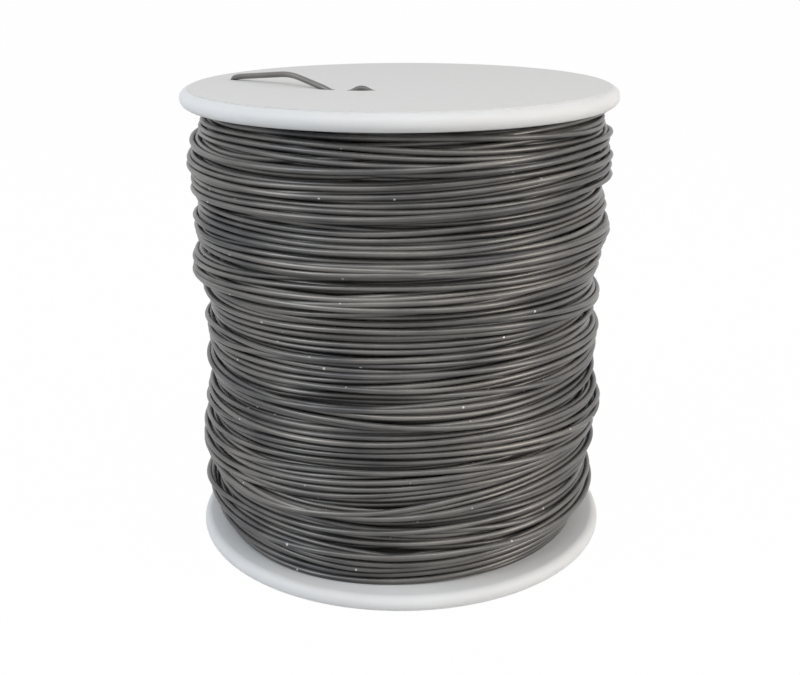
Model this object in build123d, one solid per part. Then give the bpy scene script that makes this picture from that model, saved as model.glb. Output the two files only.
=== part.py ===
from build123d import *
import math
import os

# Roll of safety wire: steel wire wound on a moulded plastic spool, which stands on its lower flange.
# Millimetres, +Z up. The origin is the middle of the lower flange's underside.

# Spool
spool_height = 68.85
flange_diameter = 63.5
flange_thickness = 2.4
barrel_diameter = 46.0
barrel_wall = 1.8
barrel_root_fillet = 0.6
arbor_diameter = 12.7
arbor_wall = 1.2
arbor_chamfer = 0.4
rib_count = 4
rib_thickness = 1.6
rib_recess = 1.5
start_hole_diameter = 2.2
start_hole_offset = 2.76
start_hole_angle = 167.2

# Wound wire
wire_diameter = 0.8128
pack_lower_diameter = 60.4
pack_waist_diameter = 59.5
pack_upper_diameter = 61.3
pack_bottom_diameter = 56.4
pack_top_diameter = 58.6
waist_start = 26.5
last_layer_edge = 44.5
band_pitch = 5.8
least_bands = 5
groove_depth = 0.48
band_unevenness = 0.22
band_rhythm = 1.9
groove_unevenness = 0.35
groove_rhythm = 2.4
winding_clearance = 0.05

# Label
label_thickness = 0.15
label_margin = 0.1
label_slit_clearance = 0.12

# Wire end: places in plan from the arbor sleeve, shares of the way from the starting hole to the dip,
# and gaps between its surface and the label
dip_offset = 4.97
dip_angle = 218.7
hump_offset = 2.5
hump_angle = 238.2
hump_run = 2.75
rise_share = 0.08
crest_share = 0.62
sink_share = 0.94
rise_gap = 0.16
crest_gap = 1.26
hump_gap = 0.02
tuck_gap = 0.44
sharp_bend_radius = 1.0
hump_bend_radius = 1.5
easy_bend_radius = 4.0
sink_bend_radius = 2.0
crest_bend_radius = 12.0

flange_radius = flange_diameter / 2
barrel_radius = barrel_diameter / 2
barrel_inner_radius = barrel_radius - barrel_wall
arbor_radius = arbor_diameter / 2
arbor_outer_radius = arbor_radius + arbor_wall
upper_flange_z = spool_height - flange_thickness
label_top_z = spool_height + label_thickness
pack_bottom_z = flange_thickness + winding_clearance
pack_top_z = upper_flange_z - winding_clearance


def at_polar(radius, angle):
    """A place in plan, by its distance from the axis and its angle from +X."""
    return (radius * math.cos(math.radians(angle)), radius * math.sin(math.radians(angle)))


start_hole_x, start_hole_y = at_polar(barrel_radius + start_hole_offset, start_hole_angle)
dip_x, dip_y = at_polar(arbor_outer_radius + dip_offset, dip_angle)
hump_x, hump_y = at_polar(arbor_outer_radius + hump_offset, hump_angle)


def tube(outer_radius, inner_radius, bottom, top):
    """A plain ring between two heights."""
    outer = Cylinder(outer_radius, top - bottom, align=(Align.CENTER, Align.CENTER, Align.MIN))
    inner = Cylinder(inner_radius, top - bottom, align=(Align.CENTER, Align.CENTER, Align.MIN))
    return Pos(0, 0, bottom) * (outer - inner)


def make_spool():
    """Two flanges with full-round rims on a hollow barrel, and an arbor sleeve held by ribs."""
    rim_radius = flange_thickness / 2
    rim_start = flange_radius - rim_radius
    root = barrel_root_fillet
    with BuildPart() as body:
        with BuildSketch(Plane.XZ):
            with BuildLine():
                Polyline((barrel_inner_radius, 0), (rim_start, 0))
                ThreePointArc((rim_start, 0), (flange_radius, rim_radius), (rim_start, flange_thickness))
                Line((rim_start, flange_thickness), (barrel_radius + root, flange_thickness))
                lower_corner = (barrel_radius + root * (1 - math.sqrt(0.5)),
                                flange_thickness + root * (1 - math.sqrt(0.5)))
                ThreePointArc((barrel_radius + root, flange_thickness), lower_corner,
                              (barrel_radius, flange_thickness + root))
                Line((barrel_radius, flange_thickness + root), (barrel_radius, upper_flange_z - root))
                upper_corner = (lower_corner[0], spool_height - lower_corner[1])
                ThreePointArc((barrel_radius, upper_flange_z - root), upper_corner,
                              (barrel_radius + root, upper_flange_z))
                Line((barrel_radius + root, upper_flange_z), (rim_start, upper_flange_z))
                ThreePointArc((rim_start, upper_flange_z), (flange_radius, spool_height - rim_radius),
                              (rim_start, spool_height))
                Polyline((rim_start, spool_height), (barrel_inner_radius, spool_height),
                         (barrel_inner_radius, 0))
            make_face()
        revolve(axis=Axis.Z)
    sleeve = tube(arbor_outer_radius, arbor_radius, 0, spool_height)
    sleeve = chamfer(sleeve.edges().filter_by(GeomType.CIRCLE).filter_by(
        lambda edge: abs(edge.radius - arbor_radius) < arbor_wall / 2), arbor_chamfer)
    middle_of_wall = barrel_inner_radius + barrel_wall / 2
    middle_of_sleeve = arbor_radius + arbor_wall / 2
    rib = Pos(middle_of_sleeve, 0, rib_recess) * Box(
        middle_of_wall - middle_of_sleeve, rib_thickness, spool_height - 2 * rib_recess,
        align=(Align.MIN, Align.CENTER, Align.MIN))
    spool = body.part + sleeve
    for number in range(rib_count):
        spool += Rot(0, 0, number * 360 / rib_count) * rib
    start_hole = Pos(start_hole_x, start_hole_y, upper_flange_z) * Cylinder(
        start_hole_diameter / 2, 2 * flange_thickness)
    spool -= start_hole
    return spool


def pack_radius(height):
    """The winding's reach at a height: its last layer ends above the waist, and the guide dwelt below it."""
    if height > last_layer_edge:
        return pack_upper_diameter / 2
    if height > waist_start:
        return pack_waist_diameter / 2
    return pack_lower_diameter / 2


def make_wire_pack():
    """The wound wire as one turned solid: bands of turns that swell between uneven grooves."""
    bore_radius = barrel_radius + winding_clearance
    relief = barrel_root_fillet + winding_clearance
    traverse = pack_top_z - pack_bottom_z
    band_count = max(least_bands, round(traverse / band_pitch))
    band_height = traverse / band_count
    grooves = [(pack_bottom_diameter / 2, pack_bottom_z)]
    for number in range(1, band_count):
        height = pack_bottom_z + band_height * (number + band_unevenness * math.sin(band_rhythm * number))
        depth = groove_depth * (1 + groove_unevenness * math.sin(groove_rhythm * number))
        grooves.append((pack_radius(height) - depth, height))
    grooves.append((pack_top_diameter / 2, pack_top_z))
    with BuildPart() as pack:
        with BuildSketch(Plane.XZ):
            with BuildLine():
                Polyline((bore_radius, pack_bottom_z + relief), (bore_radius + relief, pack_bottom_z),
                         grooves[0])
                for low, high in zip(grooves, grooves[1:]):
                    middle = (low[1] + high[1]) / 2
                    ThreePointArc(low, (pack_radius(middle), middle), high)
                Polyline(grooves[-1], (bore_radius + relief, pack_top_z),
                         (bore_radius, pack_top_z - relief), (bore_radius, pack_bottom_z + relief))
            make_face()
        revolve(axis=Axis.Z)
    return pack.part


def wire_end_path():
    """The line of the free start of the wire, in straight runs joined by small arcs."""
    wire_radius = wire_diameter / 2
    half_sunk = wire_radius / 2
    run_x = dip_x - start_hole_x
    run_y = dip_y - start_hole_y
    tuck_z = spool_height - tuck_gap - wire_radius

    def on_the_way(share, gap):
        """A place between the starting hole and the dip, with the wire that far above the label."""
        return (start_hole_x + share * run_x, start_hole_y + share * run_y, label_top_z + gap + wire_radius)

    points = [
        (start_hole_x, start_hole_y, pack_top_z),
        on_the_way(0, -half_sunk),
        on_the_way(rise_share, rise_gap),
        on_the_way(crest_share, crest_gap),
        on_the_way(sink_share, -half_sunk),
        (hump_x - hump_run, hump_y, tuck_z),
        (hump_x, hump_y, label_top_z + hump_gap + wire_radius),
        (hump_x + hump_run, hump_y, tuck_z),
    ]
    radii = [sharp_bend_radius, easy_bend_radius, crest_bend_radius, sink_bend_radius,
             sharp_bend_radius, hump_bend_radius]
    return FilletPolyline(*points, radius=radii)


def wire_along(path, diameter):
    """A round section swept along the wire end's line."""
    section = Plane(origin=path @ 0, z_dir=path % 0) * Circle(diameter / 2)
    return sweep(section, path=path)


def make_label(path):
    """A thin round sheet, slit where the wire end passes through it."""
    radius = flange_radius - flange_thickness / 2 - label_margin
    sheet = Pos(0, 0, spool_height) * Cylinder(
        radius, label_thickness, align=(Align.CENTER, Align.CENTER, Align.MIN))
    return sheet - wire_along(path, wire_diameter + 2 * label_slit_clearance)


os.makedirs("parts", exist_ok=True)
tail_path = wire_end_path()
export_step(make_spool(), "parts/spool.step")
export_step(make_wire_pack(), "parts/wire_pack.step")
export_step(make_label(tail_path), "parts/label.step")
export_step(wire_along(tail_path, wire_diameter), "parts/wire_end.step")
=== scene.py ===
import bmesh
import bpy
import math
import numpy as np
from mathutils import Matrix, Vector


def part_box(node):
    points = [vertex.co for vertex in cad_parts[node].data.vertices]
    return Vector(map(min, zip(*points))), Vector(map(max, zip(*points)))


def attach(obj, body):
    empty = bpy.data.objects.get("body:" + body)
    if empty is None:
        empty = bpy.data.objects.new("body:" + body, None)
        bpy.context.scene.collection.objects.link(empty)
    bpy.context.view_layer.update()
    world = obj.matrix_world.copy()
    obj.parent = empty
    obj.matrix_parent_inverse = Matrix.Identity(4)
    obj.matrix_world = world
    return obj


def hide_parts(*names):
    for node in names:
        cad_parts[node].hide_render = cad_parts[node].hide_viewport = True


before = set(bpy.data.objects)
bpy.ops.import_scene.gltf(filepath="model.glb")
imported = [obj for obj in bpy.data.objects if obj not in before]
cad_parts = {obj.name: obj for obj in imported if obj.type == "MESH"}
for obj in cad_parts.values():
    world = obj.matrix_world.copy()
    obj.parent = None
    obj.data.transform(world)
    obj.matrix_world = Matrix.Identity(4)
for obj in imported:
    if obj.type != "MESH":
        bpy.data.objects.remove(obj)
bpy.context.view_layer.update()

# Where the photograph was taken from: close to the roll and a little above its top flange, looking
# slightly down, so that both flanges show as ellipses and the winding narrows towards the floor.
camera_distance = 0.1716
camera_height = 0.0881
camera_pitch = math.radians(18.75)
camera_roll = math.radians(-0.23)
camera_yaw = math.radians(0.03)
camera_lens = 52.07
camera_film_width = 36.0
camera_nearest = 0.01
camera_data = bpy.data.cameras.new("camera")
camera_data.lens = camera_lens
camera_data.sensor_width = camera_film_width
camera_data.sensor_fit = "HORIZONTAL"
camera_data.clip_start = camera_nearest
camera = bpy.data.objects.new("camera", camera_data)
camera.matrix_world = (
    Matrix.Translation((0, -camera_distance, camera_height))
    @ Matrix.Rotation(camera_yaw, 4, "Z")
    @ Matrix.Rotation(math.pi / 2 - camera_pitch, 4, "X")
    @ Matrix.Rotation(camera_roll, 4, "Z")
)
bpy.context.scene.collection.objects.link(camera)
bpy.context.scene.camera = camera
bpy.context.scene.view_settings.view_transform = "Standard"


# Studio: a pale floor, a pale surround and soft lamps. The background shows white to the camera and in
# reflections, while the light that falls on the roll stays at a plain level.
floor_size = 12.0
floor_grey = 0.74
floor_white_share = 0.99
surround_level = 0.34
backdrop_level = 1.0
white = (1, 1, 1, 1)


def calculate(nodes, links, operation, *values):
    """The result of a calculation on up to three values, each a number or another node's output."""
    node = nodes.new("ShaderNodeMath")
    node.operation = operation
    for socket, value in zip(node.inputs, values):
        if isinstance(value, bpy.types.NodeSocket):
            links.new(value, socket)
        else:
            socket.default_value = value
    return node.outputs[0]


def background_rays(nodes, links):
    """A mask that is 1 for rays from the camera, off gloss and through glass, and 0 for the rest."""
    rays = nodes.new("ShaderNodeLightPath").outputs
    seen = calculate(nodes, links, "MAXIMUM", rays["Is Camera Ray"], rays["Is Glossy Ray"])
    return calculate(nodes, links, "MAXIMUM", seen, rays["Is Transmission Ray"])


def blend(nodes, links, mask, plain, bright, kind):
    """The plain look where the mask is 0 and the bright one where it is 1, put out as the given kind."""
    mix = nodes.new("ShaderNodeMixShader")
    links.new(mask, mix.inputs["Fac"])
    links.new(plain.outputs[0], mix.inputs[1])
    links.new(bright.outputs[0], mix.inputs[2])
    result = nodes.new(kind)
    links.new(mix.outputs[0], result.inputs["Surface"])


floor_mesh = bpy.data.meshes.new("floor")
floor_bm = bmesh.new()
bmesh.ops.create_grid(floor_bm, x_segments=1, y_segments=1, size=floor_size / 2)
floor_bm.to_mesh(floor_mesh)
floor_bm.free()
floor = bpy.data.objects.new("floor", floor_mesh)
bpy.context.scene.collection.objects.link(floor)

floor_material = bpy.data.materials.new("floor")
floor_material.use_nodes = True
nodes, links = floor_material.node_tree.nodes, floor_material.node_tree.links
nodes.clear()
floor_paint = nodes.new("ShaderNodeBsdfDiffuse")
floor_paint.inputs["Color"].default_value = (floor_grey, floor_grey, floor_grey, 1)
floor_glow = nodes.new("ShaderNodeEmission")
floor_glow.inputs["Color"].default_value = white
floor_glow.inputs["Strength"].default_value = backdrop_level
floor_mask = calculate(nodes, links, "MULTIPLY", background_rays(nodes, links), floor_white_share)
blend(nodes, links, floor_mask, floor_paint, floor_glow, "ShaderNodeOutputMaterial")
floor_mesh.materials.append(floor_material)

studio = bpy.data.worlds.new("studio")
studio.use_nodes = True
bpy.context.scene.world = studio
nodes, links = studio.node_tree.nodes, studio.node_tree.links
nodes.clear()
surround = nodes.new("ShaderNodeBackground")
surround.inputs["Color"].default_value = white
surround.inputs["Strength"].default_value = surround_level
backdrop = nodes.new("ShaderNodeBackground")
backdrop.inputs["Color"].default_value = white
backdrop.inputs["Strength"].default_value = backdrop_level
blend(nodes, links, background_rays(nodes, links), surround, backdrop, "ShaderNodeOutputWorld")


def soft_lamp(name, place, aim, size, power, colour):
    """A flat lamp, size wide and high, that points from its place to its aim."""
    lamp_data = bpy.data.lights.new(name, "AREA")
    lamp_data.shape = "RECTANGLE"
    lamp_data.size = size[0]
    lamp_data.size_y = size[1]
    lamp_data.energy = power
    lamp_data.color = colour
    lamp = bpy.data.objects.new(name, lamp_data)
    turned = (Vector(aim) - Vector(place)).to_track_quat("-Z", "Y")
    lamp.matrix_world = Matrix.Translation(place) @ turned.to_matrix().to_4x4()
    bpy.context.scene.collection.objects.link(lamp)


middle = (0, 0, 0.035)
soft_lamp("key_lamp", (0.03, -0.36, 0.60), middle, (0.80, 0.20), 1.75, (1.0, 0.985, 0.97))
soft_lamp("right_lamp", (0.55, -0.25, 0.22), middle, (0.30, 0.40), 2.25, (1.0, 0.93, 0.84))
soft_lamp("left_lamp", (-0.50, -0.25, 0.40), middle, (0.30, 0.40), 2.0, (0.88, 0.945, 1.0))


# Spool: one piece of white moulded plastic, two flanges on a hollow barrel with an arbor sleeve.
# Its surface is the mould's, softly glossy, and a thin flange lets a little light through.
plastic_gloss = 0.30
plastic_glow = 0.5
plastic_glow_depth = (0.0025, 0.0028, 0.003)
plastic_colours = ((0.64, 0.648, 0.66, 1), (0.68, 0.688, 0.70, 1))
plastic_roughness = (0.45, 0.60)


def new_material(name):
    """A material of that name, with its nodes, its links and its shader."""
    material = bpy.data.materials.new(name)
    material.use_nodes = True
    tree = material.node_tree
    return material, tree.nodes, tree.links, tree.nodes["Principled BSDF"]


def noise(nodes, links, vector, scale, detail, roughness=0.5):
    """An uneven value over the given coordinates, mostly between 0.3 and 0.7."""
    field = nodes.new("ShaderNodeTexNoise")
    field.inputs["Scale"].default_value = scale
    field.inputs["Detail"].default_value = detail
    field.inputs["Roughness"].default_value = roughness
    links.new(vector, field.inputs["Vector"])
    return field.outputs["Fac"]


def tone(nodes, links, value, span, colours):
    """A colour that runs from the first to the second as the value goes over its span."""
    ramp = nodes.new("ShaderNodeValToRGB")
    for element, position, colour in zip(ramp.color_ramp.elements, span, colours):
        element.position = position
        element.color = colour
    links.new(value, ramp.inputs["Fac"])
    return ramp.outputs["Color"]


def measured(nodes, links, value, span, results):
    """A number that runs from the first result to the second as the value goes over its span."""
    measure = nodes.new("ShaderNodeMapRange")
    measure.inputs["From Min"].default_value = span[0]
    measure.inputs["From Max"].default_value = span[1]
    measure.inputs["To Min"].default_value = results[0]
    measure.inputs["To Max"].default_value = results[1]
    links.new(value, measure.inputs["Value"])
    return measure.outputs["Result"]


def make_fine_relief():
    """The small unevenness of a moulded or drawn surface, as a node group that puts out a normal."""
    group = bpy.data.node_groups.new("fine_relief", "ShaderNodeTree")
    for name in ("Scale", "Strength", "Distance"):
        group.interface.new_socket(name, in_out="INPUT", socket_type="NodeSocketFloat")
    group.interface.new_socket("Normal", in_out="OUTPUT", socket_type="NodeSocketVector")
    nodes, links = group.nodes, group.links
    given = nodes.new("NodeGroupInput")
    place = nodes.new("ShaderNodeTexCoord")
    grain = nodes.new("ShaderNodeTexNoise")
    grain.inputs["Detail"].default_value = 3.0
    links.new(place.outputs["Object"], grain.inputs["Vector"])
    links.new(given.outputs["Scale"], grain.inputs["Scale"])
    bump = nodes.new("ShaderNodeBump")
    links.new(given.outputs["Strength"], bump.inputs["Strength"])
    links.new(given.outputs["Distance"], bump.inputs["Distance"])
    links.new(grain.outputs["Fac"], bump.inputs["Height"])
    result = nodes.new("NodeGroupOutput")
    links.new(bump.outputs["Normal"], result.inputs["Normal"])
    return group


def add_fine_relief(nodes, links, shader, scale, strength, distance):
    """Give a material the fine relief, with its own scale, strength and height."""
    relief = nodes.new("ShaderNodeGroup")
    relief.node_tree = fine_relief
    relief.inputs["Scale"].default_value = scale
    relief.inputs["Strength"].default_value = strength
    relief.inputs["Distance"].default_value = distance
    links.new(relief.outputs["Normal"], shader.inputs["Normal"])


def dress(piece, material):
    """Give a piece of the frame its material in place of the plain one."""
    piece.data.materials.clear()
    piece.data.materials.append(material)


fine_relief = make_fine_relief()
spool_plastic, nodes, links, shader = new_material("spool_plastic")
shader.inputs["Specular IOR Level"].default_value = plastic_gloss
shader.inputs["Subsurface Weight"].default_value = plastic_glow
shader.inputs["Subsurface Radius"].default_value = plastic_glow_depth
place = nodes.new("ShaderNodeTexCoord")
cloud = noise(nodes, links, place.outputs["Object"], scale=60.0, detail=4.0)
links.new(tone(nodes, links, cloud, (0.3, 0.7), plastic_colours), shader.inputs["Base Color"])
links.new(measured(nodes, links, cloud, (0.0, 1.0), plastic_roughness), shader.inputs["Roughness"])
add_fine_relief(nodes, links, shader, scale=1400.0, strength=0.06, distance=0.0001)
dress(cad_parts["spool"], spool_plastic)


# Wound wire: one length of dark drawn steel, laid on the barrel turn by turn by a guide that travels up
# and down and never quite evenly, so turns bunch, cross at small angles and leave gaps. Each turn rests in
# the lowest seat near its guide, on the wire that is already there, and is pulled straight over hollows.
wire_diameter = 0.0008128
wire_radius = wire_diameter / 2
flange_thickness = 0.0024
spool_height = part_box("spool")[1][2]
flange_faces = (flange_thickness, spool_height - flange_thickness)
lowest_place = flange_faces[0] + wire_radius
highest_place = flange_faces[1] - wire_radius

# How much is wound. Turns are laid from a bed inside the winding, and only the last of them are made.
bed_radius = 0.0265
utmost_radius = 0.03085
laid_turns = 288.25
shown_turns = 240
turns_a_piece = 60
turns_a_layer = 66

# How the guide strays from an even travel, and over how many turns each wander builds up. The pace
# drifts by a share of a layer, and the rest are sizes in metres.
random = np.random.default_rng(36)
pace_drift = 0.012
pace_turns = 6
guide_tilt = 0.0006
lean = 0.0008
weave = 0.00040
stray_turns = 2
ripple = 0.00045
ripple_turns = 0.6
knots_a_wave = 6
bell_reach = 4
guide_places = 400

# How much wire the guide laid at each height, against the middle of the roll.
dwell_heights = (0.0028, 0.005, 0.008, 0.020, 0.027, 0.038, 0.043, 0.048, 0.061, 0.064, 0.066)
dwell_shares = (0.6, 0.9, 1.08, 1.06, 1.02, 1.0, 1.02, 1.02, 0.96, 0.88, 0.85)

# Where the turns gather or draw apart: height, side in degrees from +X, reach up and down, and pull.
gathers = (
    (0.0475, 0, 0.0025, 0.35), (0.0425, 180, 0.0025, 0.26), (0.0224, 0, 0.0020, 0.20),
    (0.0198, 180, 0.0020, 0.20), (0.0073, 180, 0.0018, 0.28), (0.0575, 0, 0.0020, 0.20),
    (0.0590, 180, 0.0020, 0.25), (0.0615, 0, 0.0012, -0.20), (0.0365, 180, 0.0015, -0.20),
)
gather_focus = 1.5

# How the wire settles. It is laid in short stretches of steps round the roll, each with a lead of wire
# that already lies and some wire ahead. The seat says how far out the next wire would rest, for every
# step round the roll and every small cell of height.
steps = 120
step_angle = 2 * math.pi / steps
lead = 40
stretch = 30
ahead = 40
slip = 0.00007
hold = 0.02
slope_cells = 3
settling_rounds = 18
joining_steps = 25
tautness = 0.8
tightening_rounds = 16
outer_give = 0.25
bend_steps = 13
finish_steps = 9
cell = 0.00005
reach = int(wire_diameter / cell) + 1
cells = int((highest_place - lowest_place) / cell) + 2 * reach + 2


def wander(count, smoothing, size):
    """A slow random wander: noise at coarse knots, spread by a bell curve over that many steps."""
    coarse = max(1, smoothing // knots_a_wave)
    knots = count // coarse + 2
    width = smoothing / coarse
    tail = int(bell_reach * width)
    weights = np.exp(-0.5 * (np.arange(-tail, tail + 1) / width) ** 2)
    rough = np.convolve(random.standard_normal(knots + 2 * tail), weights, "valid")
    return size * np.interp(np.arange(count), np.arange(knots) * coarse, rough / rough.std())


def guide_line(count):
    """The height of the guide at every step, down and up between the flanges, at an uneven pace."""
    heights = np.linspace(lowest_place, highest_place, guide_places)
    dwell = np.interp(heights, dwell_heights, dwell_shares)
    travel = np.concatenate([[0], np.cumsum((dwell[1:] + dwell[:-1]) / 2)])
    travel /= travel[-1]
    layers = np.arange(count) / (turns_a_layer * steps) + wander(count, pace_turns * steps, pace_drift)
    phase = np.mod(layers, 2)
    phase = np.where(phase < 1, phase, 2 - phase)
    angle = np.arange(count) * step_angle
    line = np.interp(1 - phase, travel, heights) + guide_tilt * np.cos(angle)
    for waves, size in ((1, lean), (2, weave)):
        line += wander(count, stray_turns * steps, size) * np.cos(waves * angle)
        line += wander(count, stray_turns * steps, size) * np.sin(waves * angle)
    line += wander(count, int(ripple_turns * steps), ripple)
    for height, side, spread, pull in gathers:
        facing = gather_focus * (np.cos(angle - math.radians(side)) - 1)
        near = np.exp(-0.5 * ((line - height) / spread) ** 2 + facing)
        line += pull * near * (height - line)
    return line


def smooth_hump(count):
    """Weights that rise and fall smoothly over that many steps, and add up to one."""
    weights = np.hanning(count + 2)[1:-1]
    return weights / weights.sum()


def eased(laid, fresh):
    """The fresh wire bent smoothly on from the wire already laid, as a stiff wire bends."""
    half = bend_steps // 2
    joined = np.concatenate([laid, fresh, np.full(half, fresh[-1])])
    return np.convolve(joined, bend, "same")[lead:-half]


def column_of(height):
    """The column of the seat at a height."""
    return np.round((height - lowest_place) / cell).astype(int) + reach


def settle(seat, rows, laid, wish):
    """The heights of a stretch that slips downhill towards a seat and is held near the guide."""
    wire = wish + (laid[-1] - wish[0]) * np.exp(-np.arange(len(wish)) / joining_steps)
    for number in range(settling_rounds):
        column = np.clip(column_of(wire), slope_cells + 1, cells - slope_cells - 2)
        climb = seat[rows, column + slope_cells] - seat[rows, column - slope_cells]
        slope = climb / (2 * slope_cells * cell)
        wire = wire - slip * np.clip(slope, -1, 1) + hold * (wish - wire)
        wire = np.clip(eased(laid, wire), lowest_place, highest_place)
    return wire


def tighten(laid, resting):
    """The radii of a stretch that is pulled straight over the hollows under it."""
    whole = np.concatenate([laid, resting])
    for number in range(tightening_rounds):
        straight = 0.5 * (whole[lead - 1:-2] + whole[lead + 1:]) * math.cos(step_angle * tautness)
        whole[lead:-1] = np.maximum(whole[lead:-1], straight)
    return eased(laid, whole[lead:])


def cover(seat, rows, wire, radius):
    """Raise the seat to where the next wire would rest on this one."""
    columns = column_of(wire)[:, None] + np.arange(-reach, reach + 1)
    apart = (columns - reach) * cell + lowest_place - wire[:, None]
    rise = np.sqrt(np.maximum(wire_diameter ** 2 - apart ** 2, 0))
    rest = np.where(np.abs(apart) < wire_diameter, radius[:, None] + rise, 0)
    seat[rows[:, None], columns] = np.maximum(seat[rows[:, None], columns], rest)


def lay_wire():
    """The radius and height of the wire's middle at every step, each stretch settled on what lies below."""
    count = int(laid_turns * steps)
    guide = guide_line(count + ahead)
    seat = np.full((steps, cells), bed_radius)
    radii = np.full(count + lead + ahead, bed_radius)
    heights = np.full(count + lead + ahead, guide[0])
    for start in range(0, count, stretch):
        rows = np.arange(start, start + stretch + ahead) % steps
        laid = slice(start, start + lead)
        fresh = slice(start + lead, start + lead + stretch)
        wire = settle(seat, rows, heights[laid], guide[start:start + stretch + ahead])
        radius = tighten(radii[laid], seat[rows, column_of(wire)])[:stretch]
        beyond = radius - utmost_radius
        heights[fresh] = wire[:stretch]
        radii[fresh] = np.where(beyond > 0, utmost_radius + outer_give * beyond, radius)
        cover(seat, rows[:stretch], heights[fresh], radii[fresh])
    whole = slice(lead, count + lead)
    return [np.convolve(np.pad(line[whole], finish_steps // 2, "edge"), smooth_hump(finish_steps), "valid")
            for line in (radii, heights)]


bend = smooth_hump(bend_steps)
wire_radii, wire_heights = lay_wire()
wire_angles = np.arange(len(wire_radii)) * step_angle

# The steel is a dull dark grey. Three kinds of unevenness make its tone: fine streaks along the wire from
# the drawing die, stains that cross the turns, and stretches of about 70 mm that came out lighter or
# darker. Painted shade makes each turn darker on its underside and a little lighter on top.
steel_metal = 0.30
steel_gloss = 0.40
streaks_scale = (900.0, 5.0, 1.0)
stretches_scale = (160.0, 0.0, 1.0)
stains_scale = 90.0
steel_colours = ((0.064, 0.064, 0.069, 1), (0.200, 0.191, 0.180, 1))
steel_roughness = (0.40, 0.28)
# Painted shade: how strongly each turn is painted darker on its underside and lighter on top.
painted_shade_level = 0.80
painted_shade_contrast = 0.30
# Painted glints: the colour, size and rarity of small bright specks painted on as highlights.
painted_glint_colour = (0.50, 0.49, 0.47, 1)
painted_glint_scale = 700.0
painted_glint_reach = 0.13
painted_glint_rarity = 0.80


def stretched(nodes, links, vector, scale):
    """The given coordinates times a scale of their own in each direction."""
    mapping = nodes.new("ShaderNodeMapping")
    mapping.inputs["Scale"].default_value = scale
    links.new(vector, mapping.inputs["Vector"])
    return mapping.outputs["Vector"]


wire_steel, nodes, links, shader = new_material("wire_steel")
shader.inputs["Metallic"].default_value = steel_metal
shader.inputs["Specular IOR Level"].default_value = steel_gloss
place = nodes.new("ShaderNodeTexCoord")
along = place.outputs["UV"]
drawn = stretched(nodes, links, along, streaks_scale)
streaks = noise(nodes, links, drawn, scale=1.0, detail=6.0, roughness=0.6)
stains = noise(nodes, links, place.outputs["Object"], scale=stains_scale, detail=5.0)
lengths = noise(nodes, links, stretched(nodes, links, along, stretches_scale), scale=1.0, detail=2.0)
total = calculate(nodes, links, "ADD", calculate(nodes, links, "ADD", streaks, stains), lengths)
mean = calculate(nodes, links, "DIVIDE", total, 3.0)
steel_colour = tone(nodes, links, mean, (0.41, 0.59), steel_colours)

# Round the wire the second coordinate is 0.375 at the outside, 0.125 on top and 0.625 below. The painted
# shade follows it: darker below, a little lighter on top.
round_wire = nodes.new("ShaderNodeSeparateXYZ")
links.new(along, round_wire.inputs[0])
turned = calculate(nodes, links, "MULTIPLY_ADD", round_wire.outputs["Y"], 2 * math.pi, -math.pi / 4)
upward = calculate(nodes, links, "COSINE", turned)
# Painted shade: the steel colour is scaled by a value that is highest on top and lowest below.
painted_shade = nodes.new("ShaderNodeHueSaturation")
painted_shade_value = calculate(nodes, links, "MULTIPLY_ADD", upward, painted_shade_contrast, painted_shade_level)
links.new(painted_shade_value, painted_shade.inputs["Value"])
links.new(steel_colour, painted_shade.inputs["Color"])

# Painted glints: small bright specks mixed into the colour as painted highlights.
painted_glint_cells = nodes.new("ShaderNodeTexVoronoi")
painted_glint_cells.inputs["Scale"].default_value = painted_glint_scale
links.new(place.outputs["Object"], painted_glint_cells.inputs["Vector"])
near = calculate(nodes, links, "LESS_THAN", painted_glint_cells.outputs["Distance"], painted_glint_reach)
picked = calculate(nodes, links, "GREATER_THAN", painted_glint_cells.outputs["Color"], painted_glint_rarity)
painted_glints = nodes.new("ShaderNodeMix")
painted_glints.data_type = "RGBA"
painted_glints.inputs["B"].default_value = painted_glint_colour
links.new(calculate(nodes, links, "MULTIPLY", near, picked), painted_glints.inputs["Factor"])
links.new(painted_shade.outputs["Color"], painted_glints.inputs["A"])
links.new(painted_glints.outputs["Result"], shader.inputs["Base Color"])
links.new(measured(nodes, links, streaks, (0.3, 0.7), steel_roughness), shader.inputs["Roughness"])
add_fine_relief(nodes, links, shader, scale=3200.0, strength=0.12, distance=0.00003)

first_shown = len(wire_radii) - shown_turns * steps
piece_steps = turns_a_piece * steps
for number in range(shown_turns // turns_a_piece):
    start = first_shown + number * piece_steps
    stop = min(start + piece_steps + 1, len(wire_radii))
    angle, radius, height = wire_angles[start:stop], wire_radii[start:stop], wire_heights[start:stop]
    across, deep = radius * np.cos(angle), radius * np.sin(angle)
    points = np.stack([across, deep, height, np.ones(stop - start)], axis=1)
    curve = bpy.data.curves.new("wound_wire", "CURVE")
    curve.dimensions = "3D"
    curve.twist_mode = "Z_UP"
    curve.bevel_depth = wire_radius
    curve.bevel_resolution = 2
    curve.use_fill_caps = True
    spline = curve.splines.new("POLY")
    spline.points.add(len(points) - 1)
    spline.points.foreach_set("co", points.ravel())
    line = bpy.data.objects.new("wound_wire_line", curve)
    bpy.context.scene.collection.objects.link(line)
    mesh = bpy.data.meshes.new_from_object(line)
    bpy.data.objects.remove(line)
    mesh.polygons.foreach_set("use_smooth", [True] * len(mesh.polygons))
    turns = bpy.data.objects.new("wound_wire_%d" % (number + 1), mesh)
    bpy.context.scene.collection.objects.link(turns)
    mesh.materials.clear()
    mesh.materials.append(wire_steel)
    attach(turns, "root")
    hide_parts("wire_pack")


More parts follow.
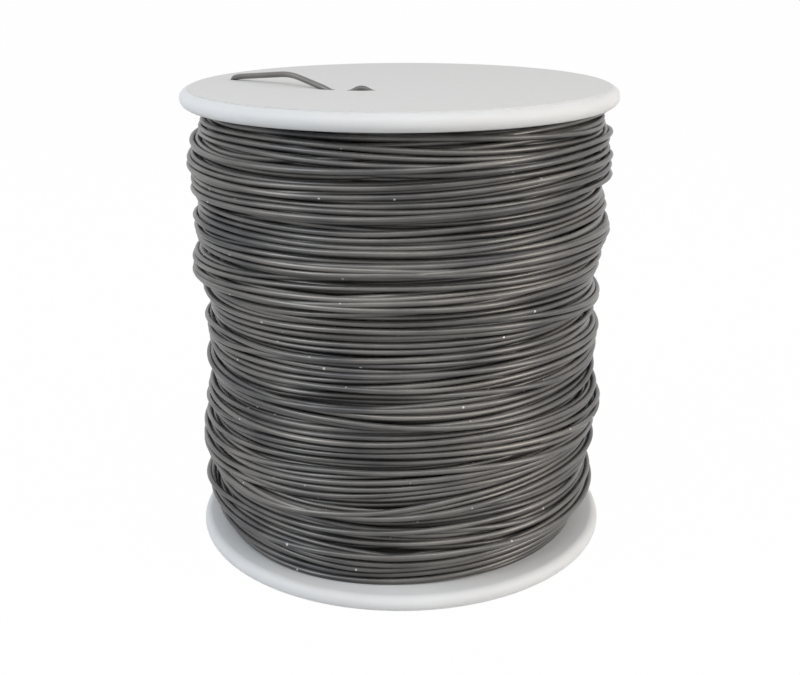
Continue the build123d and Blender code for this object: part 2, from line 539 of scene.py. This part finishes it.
# Inner turns: the layers of the same steel wire under the ones that show. Only their darkness is seen,
# in the gaps between the outer turns, so they are one turned core on the barrel, from flange to flange.
barrel_radius = 0.023
core_radius = 0.0269
core_clearance = 0.00005
core_sides = 96
core_bore = barrel_radius + core_clearance
core_low = flange_faces[0] + core_clearance
core_high = flange_faces[1] - core_clearance
core_section = (
    (core_bore, core_low), (core_radius, core_low), (core_radius, core_high), (core_bore, core_high),
)
core_mesh = bpy.data.meshes.new("inner_turns")
core_bm = bmesh.new()
corners = [core_bm.verts.new((radius, 0, height)) for radius, height in core_section]
edges = [core_bm.edges.new(pair) for pair in zip(corners, corners[1:] + corners[:1])]
bmesh.ops.spin(core_bm, geom=corners + edges, cent=(0, 0, 0), axis=(0, 0, 1), angle=2 * math.pi,
               steps=core_sides, use_merge=True, use_duplicate=False)
bmesh.ops.recalc_face_normals(core_bm, faces=core_bm.faces)
core_bm.to_mesh(core_mesh)
core_bm.free()
core = bpy.data.objects.new("inner_turns", core_mesh)
bpy.context.scene.collection.objects.link(core)
core_mesh.materials.append(wire_steel)
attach(core, "root")
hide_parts("wire_pack")


# Label: a thin round sheet of plain light grey paper, cut to the flat of the top flange and glued on.
# It closes the bore and the pockets at the top, and the wire's start passes through a slit in it.
paper_gloss = 0.2
paper_colours = ((0.635, 0.635, 0.635, 1), (0.695, 0.695, 0.695, 1))
paper_roughness = (0.65, 0.85)
label_paper, nodes, links, shader = new_material("label_paper")
shader.inputs["Specular IOR Level"].default_value = paper_gloss
place = nodes.new("ShaderNodeTexCoord")
fibres = noise(nodes, links, place.outputs["Object"], scale=900.0, detail=6.0)
links.new(tone(nodes, links, fibres, (0.0, 1.0), paper_colours), shader.inputs["Base Color"])
links.new(measured(nodes, links, fibres, (0.0, 1.0), paper_roughness), shader.inputs["Roughness"])
dress(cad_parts["label"], label_paper)


# Wire end: the free start of the same steel wire. It comes up through the starting hole in the top
# flange, is bent over the label, and is tucked through it so that it doesn't spring loose.
dress(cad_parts["wire_end"], wire_steel)
